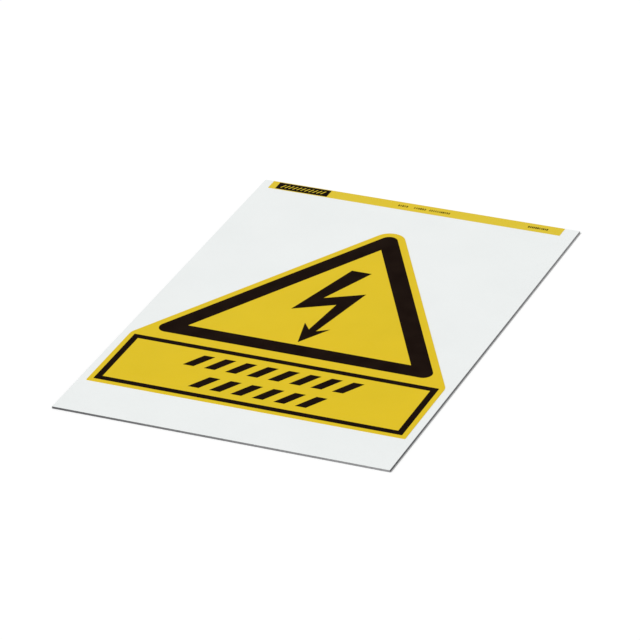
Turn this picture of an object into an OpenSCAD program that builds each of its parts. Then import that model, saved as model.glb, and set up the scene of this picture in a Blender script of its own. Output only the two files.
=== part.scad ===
// High voltage warning sign: a white sheet that carries a die-cut yellow film with black print.
// It lies flat. The origin is under the middle of the sheet, +X to the right, +Y to the header strip.

/* [Sheet] */
// Width of the white sheet, left to right
sheet_w = 210; // [160:1:300]
// Length of the white sheet, from the front edge to the header edge
sheet_l = 297; // [240:1:420]
// Thickness of the white sheet
sheet_t = 1.5; // [0.8:0.1:4]
// Small bevel where the faces of the sheet meet its cut sides
sheet_bevel = 0.15; // [0.05:0.05:0.3]

/* [Label film] */
// Thickness of the yellow film
film_t = 0.15; // [0.1:0.05:0.5]
// White left beside the film, left and right
side_margin = 5; // [2:0.5:25]
// White left between the front edge of the sheet and the film
front_margin = 33.7; // [5:0.1:50]
// Least white between the tip of the film and the header strip
head_room = 12; // [3:0.5:40]
// Yellow left outside the black triangle
triangle_margin = 4.6; // [1.5:0.1:8]
// Yellow left outside the panel frame
panel_margin = 3.2; // [1:0.1:8]
// Drop from the base of the black triangle to the shoulders of the film
shoulder_drop = 6.4; // [0:0.1:8]
// Rounding of the two shoulders
shoulder_r = 8; // [1:0.5:15]
// Rounding of the two lower corners
foot_r = 0.8; // [0.2:0.1:4]

/* [Triangle] */
// Width of the black band of the triangle
triangle_band = 11.4; // [6:0.2:16]
// Rounding of the three outer corners of the black band
triangle_r = 5.5; // [1:0.5:10]

/* [Bolt] */
// Clear height over the head of the bolt, up to the inner tip of the triangle
bolt_head_gap = 29.8; // [24:0.1:50]
// Clear height under the point of the arrow, down to the band
bolt_point_gap = 3.1; // [1:0.1:20]

/* [Panel] */
// Height of the framed panel, over its frame
panel_h = 55; // [45:0.2:80]
// Yellow between the panel frame and the base of the triangle
panel_gap = 8.1; // [7:0.1:15]
// Width of the frame line
frame_band = 4; // [1.5:0.1:6]
// Yellow over the upper row of marks, and under the lower one
row_margin = 5.8; // [3:0.1:9]
// Yellow between the two rows
row_gap = 8.5; // [3:0.1:11]
// Width of one slanted mark
mark_w = 6.8; // [3:0.1:9]
// Space between two marks
mark_gap = 6.7; // [3:0.1:9]
// Marks in the upper row
marks_upper = 8; // [2:1:8]
// Marks in the lower row
marks_lower = 6; // [2:1:8]

/* [Header] */
// Front to back size of the yellow header strip
strip_w = 9.5; // [7.5:0.1:20]
// White left of the strip
strip_left = 6; // [1:0.5:30]
// White right of the strip
strip_right = 9.5; // [1:0.5:30]
// White between the strip and the header edge of the sheet
strip_back = 0.3; // [0.3:0.1:5]
// Length of the black block on the strip
block_l = 35; // [12:0.5:80]
// Yellow between the left end of the strip and the block
block_inset = 4.6; // [1:0.2:20]
// Yellow in front of the block and behind it
block_margin = 0.7; // [0.4:0.1:1.2]
// Least black round the slanted slots in the block
slot_rim = 2.1; // [0.6:0.1:2.2]
// Width of one slot
slot_w = 0.9; // [0.5:0.1:3]
// Black between two slots
slot_gap = 1.8; // [0.8:0.1:3]

/* [Print] */
// Thickness of the printed colours
ink_t = 0.05; // [0.03:0.01:0.1]

/* [Hidden] */

white = [0.93, 0.94, 0.93];
yellow = [0.87, 0.77, 0.20];
black = [0.08, 0.06, 0.06];

// An equilateral triangle rises by this much for each unit that its side runs out
slope = tan(60);

// Turn between two points of a rounded corner
arc_step = 5;

// Heights of the layers
film_z = sheet_t;
print_z = film_z + film_t;
block_z = film_z + ink_t;

// Heights on the film, counted from its lower edge
triangle_base = panel_margin + panel_h + panel_gap;
shoulder_y = triangle_base - shoulder_drop;
tip_r = triangle_r + triangle_margin;

// The film is as wide as the side margins leave it, or as the room under the strip leaves it
width_room = sheet_w - 2 * side_margin;
strip_front = sheet_l / 2 - strip_back - strip_w;
length_room = strip_front + sheet_l / 2 - front_margin - head_room;
film_w = min(width_room, 2 * (length_room - shoulder_y + tip_r) / slope);

// The sides of the film run parallel to the sides of the black triangle
film_tip = shoulder_y + slope * film_w / 2;
triangle_tip = film_tip - 2 * triangle_margin;
triangle_h = triangle_tip - triangle_base;
inner_base = triangle_base + triangle_band;
inner_tip = triangle_tip - 2 * triangle_band;
film_y = front_margin - sheet_l / 2;

// The bolt fills the height that the gaps leave it. Its corners are shares of that height, across and up
// from the point of its arrow
bolt_h = inner_tip - bolt_head_gap - inner_base - bolt_point_gap;
head_left = [-0.049, 1];
head_right = [0.093, 1];
upper_notch = [-0.078, 0.594];
right_tip = [0.169, 0.728];
lower_notch = [0.039, 0.536];
left_tip = [-0.221, 0.393];
point_place = [-0.021, 0];
// The barbs and the neck of the arrow: back from its point, and out to each side
arrow_lean = 9;
barb = [0.239, 0.098];
neck = [0.176, 0.027];

// The framed panel and the rows of marks in it
frame_w = film_w - 2 * panel_margin;
frame_mid = panel_margin + panel_h / 2;
inner_h = panel_h - 2 * frame_band;
row_h = (inner_h - 2 * row_margin - row_gap) / 2;
row_shift = (row_h + row_gap) / 2;

strip_l = sheet_w - strip_left - strip_right;
strip_x = (strip_left - strip_right) / 2;
strip_y = strip_front + strip_w / 2;
block_w = strip_w - 2 * block_margin;
block_x = strip_left + block_inset + block_l / 2 - sheet_w / 2;

// As many slots as the block has room for
slot_h = block_w - 2 * slot_rim;
slot_room = block_l - 2 * slot_rim - slot_w - slot_h / slope;
slots = 1 + floor(slot_room / (slot_w + slot_gap));

function unit(v) = v / norm(v);

// Half of the angle at corner b, between its neighbours a and c
function half_angle(a, b, c) = acos(unit(a - b) * unit(c - b)) / 2;

// The arc of radius r that rounds corner b, as points a few degrees apart
function corner_arc(a, b, c, r) =
    let (half = half_angle(a, b, c),
         middle = b + unit(unit(a - b) + unit(c - b)) * r / sin(half),
         leave = b + unit(a - b) * r / tan(half) - middle,
         start = atan2(leave[1], leave[0]),
         sweep = 2 * (90 - half),
         steps = ceil(sweep / arc_step))
    [for (k = [0:steps]) let (turn = start + sweep * k / steps) middle + r * [cos(turn), sin(turn)]];

// Outline through the corners, counter-clockwise, each rounded by its own radius
module rounded_outline(corners, radii) {
    n = len(corners);
    polygon([for (i = [0:n - 1])
        each corner_arc(corners[(i + n - 1) % n], corners[i], corners[(i + 1) % n], radii[i])]);
}

// Where a point of the leaning arrow lies, on its right (side 1) or on its left (side -1)
function arrow_point(place, side) =
    place[0] * [sin(arrow_lean), cos(arrow_lean)] + side * place[1] * [cos(arrow_lean), -sin(arrow_lean)];

// Equilateral triangle that stands on its base
module upright_triangle(base, tip) {
    half = (tip - base) / slope;
    polygon([[-half, base], [half, base], [0, tip]]);
}

// Section of the sheet across a span, with its four small bevels
module sheet_section(span) {
    polygon([[sheet_bevel - span / 2, 0], [span / 2 - sheet_bevel, 0],
             [span / 2, sheet_bevel], [span / 2, sheet_t - sheet_bevel],
             [span / 2 - sheet_bevel, sheet_t], [sheet_bevel - span / 2, sheet_t],
             [-span / 2, sheet_t - sheet_bevel], [-span / 2, sheet_bevel]]);
}

module backing_sheet() {
    color(white)
    intersection() {
        rotate([90, 0, 0]) linear_extrude(sheet_l, center = true) sheet_section(sheet_w);
        rotate([90, 0, 90]) linear_extrude(sheet_w, center = true) sheet_section(sheet_l);
    }
}

module label_film() {
    half = film_w / 2;
    color(yellow)
    translate([0, film_y, film_z]) linear_extrude(film_t)
        rounded_outline([[-half, 0], [half, 0], [half, shoulder_y], [0, film_tip], [-half, shoulder_y]],
                        [foot_r, foot_r, shoulder_r, tip_r, shoulder_r]);
}

module triangle_band_print() {
    half = triangle_h / slope;
    color(black)
    translate([0, film_y, print_z]) linear_extrude(ink_t) difference() {
        rounded_outline([[-half, triangle_base], [half, triangle_base], [0, triangle_tip]],
                        [triangle_r, triangle_r, triangle_r]);
        upright_triangle(inner_base, inner_tip);
    }
}

module lightning_bolt() {
    outline = [[0, 0], arrow_point(barb, 1), arrow_point(neck, 1), right_tip, upper_notch, head_right,
               head_left, left_tip, lower_notch, arrow_point(neck, -1), arrow_point(barb, -1)];
    color(black)
    translate([0, film_y + inner_base + bolt_point_gap, print_z]) linear_extrude(ink_t)
        polygon([for (corner = outline) (corner + point_place) * bolt_h]);
}

module panel_frame() {
    color(black)
    translate([0, film_y + frame_mid, print_z]) linear_extrude(ink_t) difference() {
        square([frame_w, panel_h], center = true);
        square([frame_w - 2 * frame_band, inner_h], center = true);
    }
}

// A row of shapes that slant as the triangle does, centred on the origin
module slanted_row(count, width, gap, height) {
    lean = height / slope;
    for (i = [0:count - 1])
        translate([(i - (count - 1) / 2) * (width + gap), 0])
            polygon([[-(width + lean) / 2, -height / 2], [(width - lean) / 2, -height / 2],
                     [(width + lean) / 2, height / 2], [(lean - width) / 2, height / 2]]);
}

module panel_marks() {
    color(black)
    translate([0, film_y + frame_mid, print_z]) linear_extrude(ink_t) {
        translate([0, row_shift]) slanted_row(marks_upper, mark_w, mark_gap, row_h);
        translate([0, -row_shift]) slanted_row(marks_lower, mark_w, mark_gap, row_h);
    }
}

module header_strip() {
    color(yellow)
    translate([strip_x, strip_y, film_z]) linear_extrude(ink_t) square([strip_l, strip_w], center = true);
}

module header_block() {
    color(black)
    translate([block_x, strip_y, block_z]) linear_extrude(ink_t) difference() {
        square([block_l, block_w], center = true);
        slanted_row(slots, slot_w, slot_gap, slot_h);
    }
}

backing_sheet();
label_film();
triangle_band_print();
lightning_bolt();
panel_frame();
panel_marks();
header_strip();
header_block();
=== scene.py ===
import bpy
import math
from mathutils import Matrix, Vector


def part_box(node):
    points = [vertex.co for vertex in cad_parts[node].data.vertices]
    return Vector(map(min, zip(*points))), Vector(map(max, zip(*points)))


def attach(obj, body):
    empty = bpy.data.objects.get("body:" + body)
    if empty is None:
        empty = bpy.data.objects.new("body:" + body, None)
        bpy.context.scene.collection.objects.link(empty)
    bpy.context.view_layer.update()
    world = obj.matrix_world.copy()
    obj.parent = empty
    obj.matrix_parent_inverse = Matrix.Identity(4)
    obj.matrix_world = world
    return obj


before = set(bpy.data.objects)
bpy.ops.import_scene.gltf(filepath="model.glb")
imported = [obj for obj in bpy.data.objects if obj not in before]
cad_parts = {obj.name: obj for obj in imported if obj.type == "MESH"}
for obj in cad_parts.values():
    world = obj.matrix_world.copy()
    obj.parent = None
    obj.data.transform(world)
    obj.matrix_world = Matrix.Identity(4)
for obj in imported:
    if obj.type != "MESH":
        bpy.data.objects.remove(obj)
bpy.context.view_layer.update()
print("frame loaded:", ", ".join(sorted(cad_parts)))

sheetLow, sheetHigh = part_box("backing_sheet")
stripLow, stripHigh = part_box("header_strip")


# A value that is another node's output is linked, and any other value is set on the socket
def setInput(tree, socket, value):
    if isinstance(value, bpy.types.NodeSocket):
        tree.links.new(value, socket)
    else:
        socket.default_value = value


# A node of a tree, with the values of its inputs and its settings
def addNode(tree, kind, inputs=None, **settings):
    node = tree.nodes.new(kind)
    for name, value in settings.items():
        setattr(node, name, value)
    for name, value in (inputs or {}).items():
        setInput(tree, node.inputs[name], value)
    return node


def calculate(tree, operation, first, second=0.0):
    node = addNode(tree, "ShaderNodeMath", operation=operation)
    setInput(tree, node.inputs[0], first)
    setInput(tree, node.inputs[1], second)
    return node.outputs[0]


# A share of one value and the rest of another
def blendValues(tree, share, first, second):
    firstPart = calculate(tree, "MULTIPLY", first, share)
    secondPart = calculate(tree, "MULTIPLY", second, 1 - share)
    return calculate(tree, "ADD", firstPart, secondPart)


# The first colour where the share is 0, the second where it is 1
def mixColours(tree, share, first, second):
    node = addNode(tree, "ShaderNodeMix", data_type="RGBA")
    setInput(tree, node.inputs["Factor"], share)
    setInput(tree, node.inputs["A"], first)
    setInput(tree, node.inputs["B"], second)
    return node.outputs["Result"]


# Noise on the piece's own coordinates, in features per metre along all axes alike or along each one
def noiseOn(tree, place, noise):
    perMetre = noise["perMetre"]
    if not isinstance(perMetre, tuple):
        perMetre = (perMetre, perMetre, perMetre)
    scaled = addNode(tree, "ShaderNodeMapping", {"Vector": place, "Scale": perMetre})
    values = {"Vector": scaled.outputs[0], "Scale": 1, "Detail": noise["detail"]}
    return addNode(tree, "ShaderNodeTexNoise", values).outputs[0]


# A value between two limits, stretched to the range low to high
def stretched(tree, value, start, end, low, high):
    limits = {"Value": value, "From Min": start, "From Max": end, "To Min": low, "To Max": high}
    return addNode(tree, "ShaderNodeMapRange", limits).outputs[0]


# Nearly all of a noise lies between these two values
noiseLow = 0.3
noiseHigh = 0.7


# A noise, stretched to the range low to high
def spread(tree, noise, low=0.0, high=1.0):
    return stretched(tree, noise, noiseLow, noiseHigh, low, high)


# A new material with its tree and its shader
def startMaterial(name):
    material = bpy.data.materials.new(name)
    material.use_nodes = True
    tree = material.node_tree
    tree.nodes.clear()
    shader = addNode(tree, "ShaderNodeBsdfPrincipled")
    addNode(tree, "ShaderNodeOutputMaterial", {"Surface": shader.outputs[0]})
    return material, tree, shader


# The coordinates of the piece that carries the material
def ownPlace(tree):
    return addNode(tree, "ShaderNodeTexCoord").outputs["Object"]


# Gives a shader its colour, its gloss, a roughness that varies and a fine relief
def finishShader(tree, shader, look, colour, unevenness, relief):
    roughness = spread(tree, unevenness, look["smooth"], look["rough"])
    tree.links.new(colour, shader.inputs["Base Color"])
    tree.links.new(roughness, shader.inputs["Roughness"])
    shader.inputs["Specular IOR Level"].default_value = look["specular"]
    heights = {"Height": relief, "Distance": look["reliefDepth"], "Strength": look["reliefStrength"]}
    bump = addNode(tree, "ShaderNodeBump", heights)
    tree.links.new(bump.outputs[0], shader.inputs["Normal"])


# White sheet: rigid matte plastic, with faint flow lines along its length, and cut sides painted dark grey
# as shade
sheetLook = {
    "light": (0.875, 0.9, 0.893, 1),
    "shade": (0.85, 0.877, 0.87, 1),
    "clouds": {"perMetre": 22, "detail": 4},
    "flow": {"perMetre": (420, 6, 1), "detail": 3},
    "flowShare": 0.5,  # the rest of the roughness follows the tooth
    "tooth": {"perMetre": 2600, "detail": 2},
    "reliefDepth": 0.00003,  # metres
    "reliefStrength": 0.35,
    "smooth": 0.5,
    "rough": 0.62,
    "specular": 0.25,
    # The two cut colours below are painted shade: the sheet's cut sides are painted dark grey where only
    # shade falls
    "paintedCutShadeLight": (0.32, 0.32, 0.325, 1),
    "paintedCutShadeDark": (0.08, 0.08, 0.084, 1),
    "cutStreaks": {"perMetre": (900, 900, 120), "detail": 2},
    "paintedSheenShare": 0.8,  # share of the painted sheen that lightens the painted shade along a side, and the rest is streaks
    "cutReach": 0.00012,  # metres that the painted shade reaches in from the sides
    "cutFade": 0.00004,  # metres over which it fades there
}


# Two values on the sheet. The first is 1 where the painted shade lies, on its cut sides and on the outer
# half of their bevels, 0 on its faces. The second, a painted sheen, falls from 1 to 0 along each cut side,
# from left to right and from front to back, so the painted shade lightens that way
def cutSides(tree, place):
    parts = addNode(tree, "ShaderNodeSeparateXYZ", {"Vector": place}).outputs
    pastSide = calculate(tree, "SUBTRACT", calculate(tree, "ABSOLUTE", parts["X"]), sheetHigh.x)
    pastEnd = calculate(tree, "SUBTRACT", calculate(tree, "ABSOLUTE", parts["Y"]), sheetHigh.y)
    past = calculate(tree, "MAXIMUM", pastSide, pastEnd)
    start = -sheetLook["cutReach"]
    paintedShadeMask = stretched(tree, past, start, start + sheetLook["cutFade"], 0, 1)
    alongSide = stretched(tree, parts["Y"], sheetLow.y, sheetHigh.y, 1, 0)
    alongEnd = stretched(tree, parts["X"], sheetLow.x, sheetHigh.x, 1, 0)
    onEnd = calculate(tree, "GREATER_THAN", pastEnd, pastSide)
    change = calculate(tree, "MULTIPLY", onEnd, calculate(tree, "SUBTRACT", alongEnd, alongSide))
    return paintedShadeMask, calculate(tree, "ADD", alongSide, change)


def makeSheetMaterial():
    look = sheetLook
    material, tree, shader = startMaterial("whiteSheet")
    place = ownPlace(tree)
    clouds = noiseOn(tree, place, look["clouds"])
    flow = noiseOn(tree, place, look["flow"])
    tooth = noiseOn(tree, place, look["tooth"])
    streaks = noiseOn(tree, place, look["cutStreaks"])
    # Painted shade on the cut sides and on the outer half of their bevels
    paintedShadeMask, along = cutSides(tree, place)
    # Painted sheen: the painted shade on the cut sides lightens towards the right and the back
    paintedShadeDepth = blendValues(tree, look["paintedSheenShare"], along, spread(tree, streaks))
    cut = mixColours(tree, paintedShadeDepth, look["paintedCutShadeLight"], look["paintedCutShadeDark"])
    face = mixColours(tree, spread(tree, clouds), look["light"], look["shade"])
    grain = blendValues(tree, look["flowShare"], flow, tooth)
    finishShader(tree, shader, look, mixColours(tree, paintedShadeMask, face, cut), grain, tooth)
    return material


# Yellow film: vinyl with a satin face, its pigment a little uneven under a fine orange peel
filmLook = {
    "light": (0.765, 0.553, 0.012, 1),
    "shade": (0.715, 0.517, 0.0095, 1),
    "warm": (0.78, 0.535, 0.01, 1),
    "clouds": {"perMetre": 34, "detail": 5},
    "tint": {"perMetre": 13, "detail": 1},
    "tintShare": 0.5,  # greatest share of the warm pigment
    "grain": {"perMetre": 1800, "detail": 2},
    "grainShare": 0.3,  # share of the shade that follows the grain, and the rest is clouds
    "peel": {"perMetre": 620, "detail": 1},
    "reliefDepth": 0.00004,  # metres
    "reliefStrength": 0.25,
    "smooth": 0.3,
    "rough": 0.42,
    "specular": 0.06,
}

# Yellow of the strip: the same pigment as thin print on the sheet, so more matte
stripLook = dict(
    filmLook,
    light=(0.75, 0.573, 0.041, 1),
    shade=(0.715, 0.543, 0.037, 1),
    smooth=0.42,
    rough=0.55,
)


def makeYellowMaterial(name, look):
    material, tree, shader = startMaterial(name)
    place = ownPlace(tree)
    clouds = noiseOn(tree, place, look["clouds"])
    grain = noiseOn(tree, place, look["grain"])
    tint = noiseOn(tree, place, look["tint"])
    peel = noiseOn(tree, place, look["peel"])
    uneven = spread(tree, blendValues(tree, look["grainShare"], grain, clouds))
    pigment = mixColours(tree, uneven, look["light"], look["shade"])
    warmth = spread(tree, tint, 0, look["tintShare"])
    finishShader(tree, shader, look, mixColours(tree, warmth, pigment, look["warm"]), grain, peel)
    return material


# Black print: dense warm ink, with the fine tooth of the screen that it was pressed through
inkLook = {
    "light": (0.0102, 0.0045, 0.0022, 1),
    "shade": (0.0062, 0.0024, 0.0012, 1),
    "clouds": {"perMetre": 90, "detail": 4},
    "tooth": {"perMetre": 3200, "detail": 1},
    "reliefDepth": 0.00001,  # metres
    "reliefStrength": 0.3,
    "smooth": 0.38,
    "rough": 0.52,
    "specular": 0.006,
}


def makeInkMaterial():
    look = inkLook
    material, tree, shader = startMaterial("blackPrint")
    place = ownPlace(tree)
    clouds = noiseOn(tree, place, look["clouds"])
    tooth = noiseOn(tree, place, look["tooth"])
    colour = mixColours(tree, spread(tree, clouds), look["light"], look["shade"])
    finishShader(tree, shader, look, colour, clouds, tooth)
    return material


inkMaterial = makeInkMaterial()
finishes = {
    "backing_sheet": makeSheetMaterial(),
    "label_film": makeYellowMaterial("yellowFilm", filmLook),
    "header_strip": makeYellowMaterial("yellowPrint", stripLook),
}
for nodeName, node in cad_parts.items():
    node.data.materials.clear()
    node.data.materials.append(finishes.get(nodeName, inkMaterial))  # the other nodes are black print
print("finishes given to nodes of the frame:", len(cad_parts))


# A new object in the scene, with its mesh, its light or its camera
def addObject(name, data):
    newObject = bpy.data.objects.new(name, data)
    bpy.context.scene.collection.objects.link(newObject)
    return newObject


# Fine print on the header strip, as rows of plain upright dashes. Lengths are in metres
finePrint = {
    # Where each row starts and ends, from the left end of the strip
    "rows": ((0.0868, 0.0922), (0.0972, 0.1042), (0.1074, 0.1202), (0.1726, 0.1846)),
    "pitch": 0.0012,
    "height": 0.0021,
    "thickness": 0.00003,
    "narrowest": 0.35,  # least width of a dash, as a share of the pitch
    "widest": 0.8,  # greatest width, as a share of the pitch
    "seed": 4,
}


# Geometry nodes: dashes of uneven width at even steps along every line of the mesh
def makeDashTree():
    tree = bpy.data.node_groups.new("dashesAlongLines", "GeometryNodeTree")
    inputs = {
        "Lines": "NodeSocketGeometry",
        "Pitch": "NodeSocketFloat",
        "Height": "NodeSocketFloat",
        "Thickness": "NodeSocketFloat",
        "Narrowest": "NodeSocketFloat",
        "Widest": "NodeSocketFloat",
        "Seed": "NodeSocketInt",
        "Ink": "NodeSocketMaterial",
    }
    for name, kind in inputs.items():
        tree.interface.new_socket(name, in_out="INPUT", socket_type=kind)
    tree.interface.new_socket("Dashes", in_out="OUTPUT", socket_type="NodeSocketGeometry")
    given = addNode(tree, "NodeGroupInput").outputs
    curve = addNode(tree, "GeometryNodeMeshToCurve", {"Mesh": given["Lines"]}).outputs[0]
    steps = addNode(tree, "GeometryNodeResampleCurve",
                    {"Curve": curve, "Length": given["Pitch"]}, mode="LENGTH")
    share = addNode(tree, "FunctionNodeRandomValue",
                    {"Min": given["Narrowest"], "Max": given["Widest"], "Seed": given["Seed"]},
                    data_type="FLOAT")
    width = calculate(tree, "MULTIPLY", share.outputs["Value"], given["Pitch"])
    size = addNode(tree, "ShaderNodeCombineXYZ",
                   {"X": width, "Y": given["Height"], "Z": given["Thickness"]})
    dash = addNode(tree, "GeometryNodeMeshCube", {"Size": (1, 1, 1)})
    placed = addNode(tree, "GeometryNodeInstanceOnPoints",
                     {"Points": steps.outputs[0], "Instance": dash.outputs[0], "Scale": size.outputs[0]})
    real = addNode(tree, "GeometryNodeRealizeInstances", {"Geometry": placed.outputs[0]})
    inked = addNode(tree, "GeometryNodeSetMaterial",
                    {"Geometry": real.outputs[0], "Material": given["Ink"]})
    addNode(tree, "NodeGroupOutput", {"Dashes": inked.outputs[0]})
    return tree


# Runs a geometry tree on a piece's mesh, and keeps the result as its plain mesh
def applyTree(piece, tree, values):
    modifier = piece.modifiers.new("nodes", "NODES")
    modifier.node_group = tree
    sockets = {item.name: item.identifier for item in tree.interface.items_tree if item.in_out == "INPUT"}
    for name, value in values.items():
        modifier[sockets[name]] = value
    bpy.context.view_layer.update()
    evaluated = piece.evaluated_get(bpy.context.evaluated_depsgraph_get())
    mesh = bpy.data.meshes.new_from_object(evaluated)
    piece.modifiers.remove(modifier)
    piece.data = mesh


# The rows are lines along the middle of the strip, and the dashes lie across them
def makeFinePrint():
    middle = (stripLow.y + stripHigh.y) / 2
    height = stripHigh.z + finePrint["thickness"] / 2
    points = [(stripLow.x + place, middle, height) for row in finePrint["rows"] for place in row]
    edges = [(start, start + 1) for start in range(0, len(points), 2)]
    mesh = bpy.data.meshes.new("finePrint")
    mesh.from_pydata(points, edges, [])
    piece = addObject("fine_print", mesh)
    applyTree(piece, makeDashTree(), {
        "Pitch": finePrint["pitch"],
        "Height": finePrint["height"],
        "Thickness": finePrint["thickness"],
        "Narrowest": finePrint["narrowest"],
        "Widest": finePrint["widest"],
        "Seed": finePrint["seed"],
        "Ink": inkMaterial,
    })
    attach(piece, "root")
    return piece


finePrintPiece = makeFinePrint()
print("fine print made, faces:", len(finePrintPiece.data.polygons))


# Pale floor, even sky, and one soft lamp from the front left that lights the whole sheet alike
studio = {
    "floorSize": 12,  # metres
    "floorPaint": 0.93,
    "floorRough": 0.9,
    "floorGlow": 0.12,
    "sky": 0.45,
    "lampFrom": (-0.42, -0.48, 0.77),
    "lampBreadth": 8,  # degrees
    "lampStrength": 2.13,
}
white = (1, 1, 1, 1)


# 1 where a camera sees the surface straight, in gloss or through glass
def seenByCamera(tree):
    path = addNode(tree, "ShaderNodeLightPath").outputs
    seen = calculate(tree, "MAXIMUM", path["Is Camera Ray"], path["Is Glossy Ray"])
    return calculate(tree, "MAXIMUM", seen, path["Is Transmission Ray"])


# A glow that only cameras and reflections see makes the floor white, and it keeps its shadows
def makeFloor():
    half = studio["floorSize"] / 2
    corners = [(-half, -half, 0), (half, -half, 0), (half, half, 0), (-half, half, 0)]
    mesh = bpy.data.meshes.new("floor")
    mesh.from_pydata(corners, [], [(0, 1, 2, 3)])
    floor = addObject("floor", mesh)
    material, tree, shader = startMaterial("paleFloor")
    paint = studio["floorPaint"]
    shader.inputs["Base Color"].default_value = (paint, paint, paint, 1)
    shader.inputs["Roughness"].default_value = studio["floorRough"]
    shader.inputs["Specular IOR Level"].default_value = 0
    shader.inputs["Emission Color"].default_value = white
    glow = calculate(tree, "MULTIPLY", seenByCamera(tree), studio["floorGlow"])
    tree.links.new(glow, shader.inputs["Emission Strength"])
    mesh.materials.append(material)


# The sky lights the sheet evenly, and cameras see it white
def makeSky():
    world = bpy.data.worlds.new("sky")
    bpy.context.scene.world = world
    world.use_nodes = True
    tree = world.node_tree
    tree.nodes.clear()
    strength = stretched(tree, seenByCamera(tree), 0, 1, studio["sky"], 1)
    sky = addNode(tree, "ShaderNodeBackground", {"Color": white, "Strength": strength})
    addNode(tree, "ShaderNodeOutputWorld", {"Surface": sky.outputs[0]})


def makeLamp():
    light = bpy.data.lights.new("softLamp", "SUN")
    light.energy = studio["lampStrength"]
    light.angle = math.radians(studio["lampBreadth"])
    lamp = addObject("softLamp", light)
    lamp.location = studio["lampFrom"]
    lamp.rotation_mode = "QUATERNION"
    lamp.rotation_quaternion = (-Vector(studio["lampFrom"])).to_track_quat("-Z", "Y")


makeFloor()
makeSky()
makeLamp()
print("studio made")


# The photo's view of the sheet
photoView = {
    "aim": (-0.0003, -0.00517, 0.0015),  # the point that the camera aims at, in metres
    "turn": 25.11,  # degrees that it stands to the right of the sheet's front
    "height": 29.2,  # degrees that it stands above the sheet
    "roll": 2.86,  # degrees that it leans to its right
    "distance": 2.576,  # metres
    "lens": 246,  # millimetres
    "sensor": 36,  # millimetres
}


def makeCamera():
    turn = math.radians(photoView["turn"])
    height = math.radians(photoView["height"])
    roll = math.radians(photoView["roll"])
    back = Vector((math.sin(turn) * math.cos(height), -math.cos(turn) * math.cos(height), math.sin(height)))
    levelRight = Vector((0, 0, 1)).cross(back).normalized()
    levelUp = back.cross(levelRight)
    right = levelRight * math.cos(roll) - levelUp * math.sin(roll)
    up = back.cross(right)
    view = bpy.data.cameras.new("photoCamera")
    view.sensor_width = photoView["sensor"]
    view.lens = photoView["lens"]
    camera = addObject("photoCamera", view)
    eye = Vector(photoView["aim"]) + back * photoView["distance"]
    turned = Matrix((right, up, back)).transposed().to_4x4()
    camera.matrix_world = Matrix.Translation(eye) @ turned
    bpy.context.scene.camera = camera


makeCamera()
bpy.context.scene.view_settings.view_transform = "Standard"
print("camera made")
